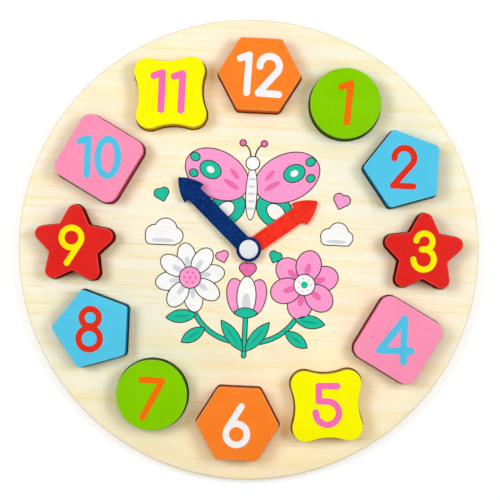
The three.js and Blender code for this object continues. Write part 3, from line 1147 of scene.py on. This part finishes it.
def handRows(length, tip):
    # half widths and distances along the hand, from under the hub to the tip
    hub, half = handShape['hub'], handShape['shaft'] / 2
    rows = []
    first = handShape['shortOfMiddle']
    join = 180 - math.degrees(math.asin(half / hub))
    for i in range(handShape['hubSteps'] + 1):
        angle = math.radians(first + (join - first) * i / handShape['hubSteps'])
        rows.append((hub * math.sin(angle), -hub * math.cos(angle)))
    neck = length - handShape['head']
    wide = half + handShape['barb']
    rows.append((half, neck))
    slope = math.atan2(wide, handShape['head'])
    tipY = length - tip
    start = Vector((wide, neck + handShape['sweep']))
    end = Vector((tip * math.cos(slope), tipY + tip * math.sin(slope)))
    bulge = toward(slope) * 2 * handShape['bulge']
    middle = (start + end) / 2 + bulge
    for i in range(handShape['sideSteps'] + 1):
        share = i / handShape['sideSteps']
        spot = start * (1 - share) ** 2 + middle * 2 * share * (1 - share) + end * share ** 2
        rows.append((spot.x, spot.y))
    last = math.radians(90 - first)
    for i in range(1, handShape['tipSteps'] + 1):
        angle = slope + (last - slope) * i / handShape['tipSteps']
        rows.append((tip * math.cos(angle), tipY + tip * math.sin(angle)))
    return rows


def makeHand(node):
    settings = hands[node]
    low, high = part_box(node)[0].z / mm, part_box(node)[1].z / mm
    rows = handRows(settings['length'], settings['tip'])
    half, along = rows[0]
    piece = startPlane(node + '_moulding', 2 * half, (0, along, low))
    edit(piece)
    stretch(1, 0, (0, along, low))
    bpy.ops.mesh.remove_doubles(threshold=1e-7)
    for nextHalf, nextAlong in rows[1:]:
        extrude(0, nextAlong - along, 0)
        stretch(nextHalf / half, 1, (0, nextAlong, low))
        half, along = nextHalf, nextAlong
    selectAll()
    extrude(0, 0, high - low)
    outwards()
    for side in (1, -1):
        pick('FACE', lambda face: face.normal.z * side > 0.9)
        bpy.ops.mesh.dissolve_faces()
    easeRim(high, handShape)
    easeRim(low, handShape)
    leaveEdit()
    cutter = roundCutter(handShape['hole'], low - spare, high + spare, handShape['holeSides'])
    cutAway(piece, cutter)
    if node == 'minute_hand':
        # the fine ring that the mould leaves in the head
        outer, inner = gateMark['outer'], gateMark['inner']
        foot, head = high - gateMark['depth'], high + spare
        rings = [(outer, foot), (outer, head), (inner, head), (inner, foot), (outer, foot)]
        ring = turned('cutter', rings, gateMark['sides'], closed=True)
        ring.location = (0, gateMark['along'] * mm, 0)
        settle(ring)
        cutAway(piece, ring)
    piece.rotation_euler.z = -math.radians(settings['heading'])
    settle(piece)
    dress(piece, plastic(node + '_plastic', handPlastics[node]))
    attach(piece, node)
    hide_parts(node)


makeHand('hour_hand')
makeHand('minute_hand')
print('hands made')


# Rivet, its socket and the washer

rivet = {
    'sides': 72, 'shaft': 2.3, 'lip': 2.75, 'cap': 4.6, 'end': 0.8, 'lipTop': 1.7,
    'capBase': 13.0, 'capTop': 14.5, 'underRounding': 0.15, 'rounding': 0.6, 'crown': 0.12,
    'crownDrops': [(3.0, 0.06), (2.0, 0.025), (1.0, 0.003)], 'slit': (8, 0.9, 4.4),
}
socket = {
    'sides': 72, 'bore': 2.6, 'pocket': 3.05, 'pocketTop': 2, 'sleeve': 3.95, 'flange': 7.0,
    'low': 0.4, 'flangeTop': 1.8, 'top': 7.7, 'rounding': 0.3,
}
washer = {'sides': 64, 'bore': 2.6, 'radius': 5.5, 'low': 8, 'high': 8.8, 'rounding': 0.2}
whitePlastic = plastic('white_moulding', {
    'base': (228, 231, 238), 'deep': (219, 223, 233), 'bright': (241, 243, 248),
    'swirl': 0.7, 'speckle': 0.3, 'roughness': 0.32, 'relief': 0.25,
})


def makeRivet():
    lipSlope = rivet['lip'] - rivet['shaft']
    rim = rivet['capTop'] - rivet['crown'] - rivet['rounding']
    under = rivet['underRounding']
    piece = turned('rivet_moulding', [
        (rivet['shaft'], rivet['end']),
        (rivet['lip'], rivet['lipTop'] - lipSlope),
        (rivet['lip'], rivet['lipTop']),
        (rivet['shaft'], rivet['lipTop']),
        (rivet['shaft'], rivet['capBase']),
        *roundedProfile(rivet['cap'] - under, rivet['capBase'] + under, under, -90, 0, 2),
        *roundedProfile(rivet['cap'] - rivet['rounding'], rim, rivet['rounding'], 0, 78),
        *((radius, rivet['capTop'] - drop) for radius, drop in rivet['crownDrops']),
    ], rivet['sides'])
    deselect()
    bpy.ops.mesh.primitive_cube_add(size=mm, location=(0, 0, rivet['slit'][2] / 2 * mm))
    slit = named('slit')
    slit.scale = rivet['slit']
    settle(slit)
    cutAway(piece, slit)
    dress(piece, whitePlastic)
    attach(piece, 'board')
    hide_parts('rivet_pin')


def makeSocket():
    rounding = socket['rounding']
    piece = turned('rivet_socket_moulding', [
        (socket['pocket'], socket['low']),
        *roundedProfile(socket['flange'] - rounding, socket['low'] + rounding, rounding, -90, 0, 4),
        (socket['flange'], socket['flangeTop']),
        (socket['sleeve'], socket['flangeTop']),
        (socket['sleeve'], socket['top']),
        (socket['bore'], socket['top']),
        (socket['bore'], socket['pocketTop']),
        (socket['pocket'], socket['pocketTop']),
        (socket['pocket'], socket['low']),
    ], socket['sides'], closed=True)
    dress(piece, whitePlastic)
    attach(piece, 'board')
    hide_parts('rivet_socket')


def makeWasher():
    rounding = washer['rounding']
    piece = turned('spacer_washer_moulding', [
        (washer['bore'], washer['low']),
        (washer['radius'], washer['low']),
        *roundedProfile(washer['radius'] - rounding, washer['high'] - rounding, rounding, 0, 90, 3),
        (washer['bore'], washer['high']),
        (washer['bore'], washer['low']),
    ], washer['sides'], closed=True)
    dress(piece, whitePlastic)
    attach(piece, 'board')
    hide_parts('spacer_washer')


makeRivet()
makeSocket()
makeWasher()
print('rivet made')


# Floor, lamps and camera

studio = {
    'roll': 2.73, 'camera': (7.35, -13.76, 750), 'lens': 109.3, 'shift': (-0.0248, 0.0568),
    'sensor': 36, 'clip': (0.01, 20),
    'ambient': 0.3, 'ambientColour': (1, 0.81, 0.54, 1), 'white': (1, 1, 1, 1),
    'floorSize': 6000, 'floorDrop': 0.1, 'paper': (0.62, 0.62, 0.62, 1), 'glow': 0.5,
}
sideLamp = {'power': 2.57, 'size': (0.34, 0.3), 'colour': (0.89, 1.0, 1.16)}
lamps = {
    'left': {'place': (-0.44, 0.1, 0.68), **sideLamp},
    'right': {'place': (0.44, 0.1, 0.68), **sideLamp},
    'overhead': {
        'place': (0, 0.26, 1.15), 'power': 1.8, 'size': (0.5, 0.5), 'colour': (1.03, 0.92, 0.68),
    },
}


def emptyTree(owner):
    owner.use_nodes = True
    owner.node_tree.nodes.clear()
    return owner.node_tree


def fedNode(tree, kind, *sources, operation=None):
    # adds a node and gives its sockets links or values in turn
    node = tree.nodes.new(kind)
    if operation:
        node.operation = operation
    for socket, source in zip(node.inputs, sources):
        if isinstance(source, bpy.types.NodeSocket):
            tree.links.new(source, socket)
        else:
            socket.default_value = source
    return node.outputs[0] if node.outputs else None


def showToCamera(tree):
    # 1 for rays that show the background itself, 0 for rays that carry light
    path = tree.nodes.new('ShaderNodeLightPath')
    total = path.outputs['Is Camera Ray']
    for name in ('Is Glossy Ray', 'Is Transmission Ray'):
        total = fedNode(tree, 'ShaderNodeMath', total, path.outputs[name], operation='MAXIMUM')
    return total


def makeWorld():
    world = bpy.data.worlds.new('studio')
    bpy.context.scene.world = world
    tree = emptyTree(world)
    light = fedNode(tree, 'ShaderNodeBackground', studio['ambientColour'], studio['ambient'])
    shown = fedNode(tree, 'ShaderNodeBackground', studio['white'], 1)
    both = fedNode(tree, 'ShaderNodeMixShader', showToCamera(tree), light, shown)
    fedNode(tree, 'ShaderNodeOutputWorld', both)


def makeFloor():
    floor = startPlane('floor', studio['floorSize'], (0, 0, -studio['floorDrop']))
    material = bpy.data.materials.new('floor_paper')
    tree = emptyTree(material)
    paper = fedNode(tree, 'ShaderNodeBsdfDiffuse', studio['paper'])
    strength = fedNode(tree, 'ShaderNodeMath', showToCamera(tree), studio['glow'], operation='MULTIPLY')
    glow = fedNode(tree, 'ShaderNodeEmission', studio['white'], strength)
    both = fedNode(tree, 'ShaderNodeAddShader', paper, glow)
    fedNode(tree, 'ShaderNodeOutputMaterial', both)
    floor.data.materials.append(material)


def makeLamps():
    for name, settings in lamps.items():
        light = bpy.data.lights.new('lamp_' + name, 'AREA')
        light.shape = 'RECTANGLE'
        light.size, light.size_y = settings['size']
        light.energy = settings['power']
        light.color = settings['colour']
        lamp = placed('lamp_' + name, light)
        lamp.location = settings['place']
        lamp.rotation_mode = 'QUATERNION'
        lamp.rotation_quaternion = (-lamp.location).to_track_quat('-Z', 'Y')


def makeCamera():
    data = bpy.data.cameras.new('camera')
    data.lens = studio['lens']
    data.sensor_width = studio['sensor']
    data.shift_x, data.shift_y = studio['shift']
    data.clip_start, data.clip_end = studio['clip']
    camera = placed('camera', data)
    camera.location = Vector(studio['camera']) * mm
    camera.rotation_euler.z = math.radians(studio['roll'])
    bpy.context.scene.camera = camera


makeWorld()
makeFloor()
makeLamps()
makeCamera()
bpy.context.scene.view_settings.view_transform = 'Standard'
print('studio set')
